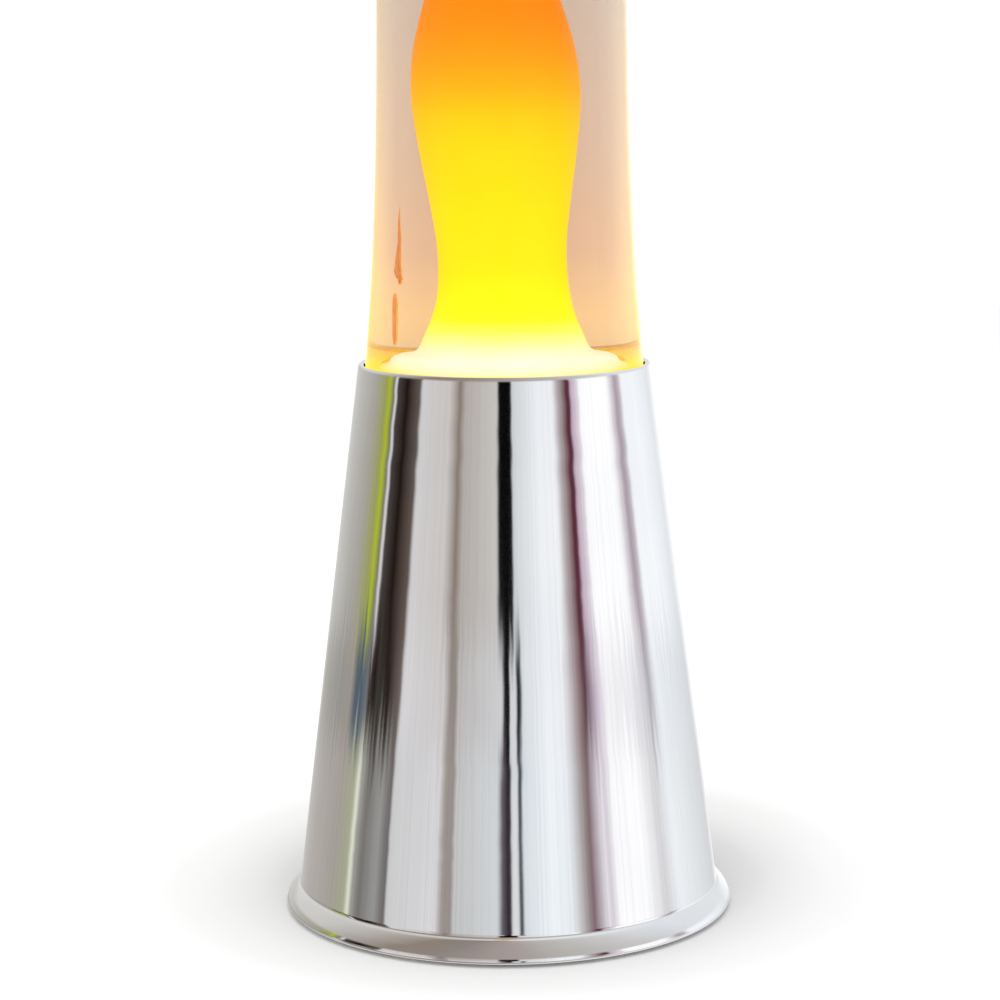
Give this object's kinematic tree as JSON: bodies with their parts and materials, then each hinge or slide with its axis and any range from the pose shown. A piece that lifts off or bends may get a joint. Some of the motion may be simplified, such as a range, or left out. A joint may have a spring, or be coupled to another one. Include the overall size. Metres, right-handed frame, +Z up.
{
  "type": "lava lamp",
  "caption": "Chromed cone base with a reflector bulb, a lift-out glass bottle of rising wax in tinted liquid, and a chromed cap over its neck.",
  "frame": {"origin": "on the floor, in the middle of the base", "axes": "+Z up along the lamp's axis, -Y to the front, the cord gland at the back on +Y"},
  "size_m": [0.11, 0.11, 0.395],
  "materials": {
    "chrome": "mirror-polished chrome plating",
    "zinc_steel": "zinc-plated, satin",
    "brass": "bright",
    "nickel": "satin",
    "solder": "dull",
    "tungsten": "dull",
    "black_plastic": "fine grain",
    "white_plastic": "satin",
    "phenolic": "moulded phenolic, half gloss",
    "rubber": "matt",
    "silicone": "translucent white, matt",
    "brown_lead": "insulated wire",
    "blue_lead": "insulated wire",
    "bulb_glass": "silvered reflector with a frosted front",
    "black_glass": "moulded black glass",
    "clear_glass": "clear, polished",
    "liquid": "clear peach-tinted liquid",
    "wax": "translucent wax, lit from below: orange at the top, yellow to white at the bottom"
  },
  "bodies": {
    "base": {"base_shell": "chrome", "bottle_seat": "zinc_steel", "seat_gasket": "silicone", "base_plate": "zinc_steel", "shell_lug_1": "zinc_steel", "shell_lug_2": "zinc_steel", "shell_lug_3": "zinc_steel", "shell_lug_4": "zinc_steel", "plate_screw_1": "zinc_steel", "plate_screw_2": "zinc_steel", "plate_screw_3": "zinc_steel", "plate_screw_4": "zinc_steel", "foot_1": "rubber", "foot_2": "rubber", "foot_3": "rubber", "foot_4": "rubber", "cord_gland": "black_plastic", "gland_nut": "black_plastic", "terminal_block": "white_plastic", "terminal_screw_1": "brass", "terminal_screw_2": "brass", "lead_live": "brown_lead", "lead_neutral": "blue_lead", "lampholder_bracket": "zinc_steel", "bracket_screw_1": "zinc_steel", "bracket_screw_2": "zinc_steel", "lampholder_nipple": "zinc_steel", "nipple_nut": "zinc_steel", "lampholder_body": "phenolic", "lampholder_thread_shell": "brass", "lampholder_centre_contact": "brass"},
    "bulb_tip": {"bulb_tip_contact": "solder"},
    "bulb": {"bulb_envelope": "bulb_glass", "bulb_screw_cap": "nickel", "bulb_cap_insulator": "black_glass", "bulb_stem": "clear_glass", "bulb_filament": "tungsten"},
    "bottle": {"bottle": "clear_glass", "wax_column": "wax", "liquid": "liquid", "wire_coil": "zinc_steel", "crown_cap_liner": "silicone", "crown_cap": "zinc_steel"},
    "wax_blob_lower": {"wax_blob_lower": "wax"},
    "wax_blob_upper": {"wax_blob_upper": "wax"},
    "top_cap": {"top_cap": "chrome", "cap_collar": "black_plastic"}
  },
  "joints": [
    {"name": "bottle_lift", "type": "slide", "parent": "base", "child": "bottle", "axis": [0, 0, 1], "range_m": [0, 0.06]},
    {"name": "cap_lift", "type": "slide", "parent": "bottle", "child": "top_cap", "axis": [0, 0, 1], "range_m": [0, 0.06]},
    {"name": "bulb_rise", "type": "slide", "parent": "base", "child": "bulb_tip", "axis": [0, 0, 1], "range_m": [0, 0.0127]},
    {"name": "bulb_turn", "type": "hinge", "parent": "bulb_tip", "child": "bulb", "pos_m": [0, 0, 0.03], "axis": [0, 0, 1], "range_deg": [0, 1620]},
    {"name": "blob_lower_rise", "type": "slide", "parent": "bottle", "child": "wax_blob_lower", "axis": [0, 0, 1], "range_m": [-0.006, 0.012], "deforming": ["liquid"]},
    {"name": "blob_upper_rise", "type": "slide", "parent": "bottle", "child": "wax_blob_upper", "axis": [0, 0, 1], "range_m": [-0.006, 0.022], "deforming": ["liquid"]}
  ],
  "couplings": [
    {"joint": "bulb_rise", "follows": "bulb_turn", "m_per_rad": 0.00044882}
  ]
}
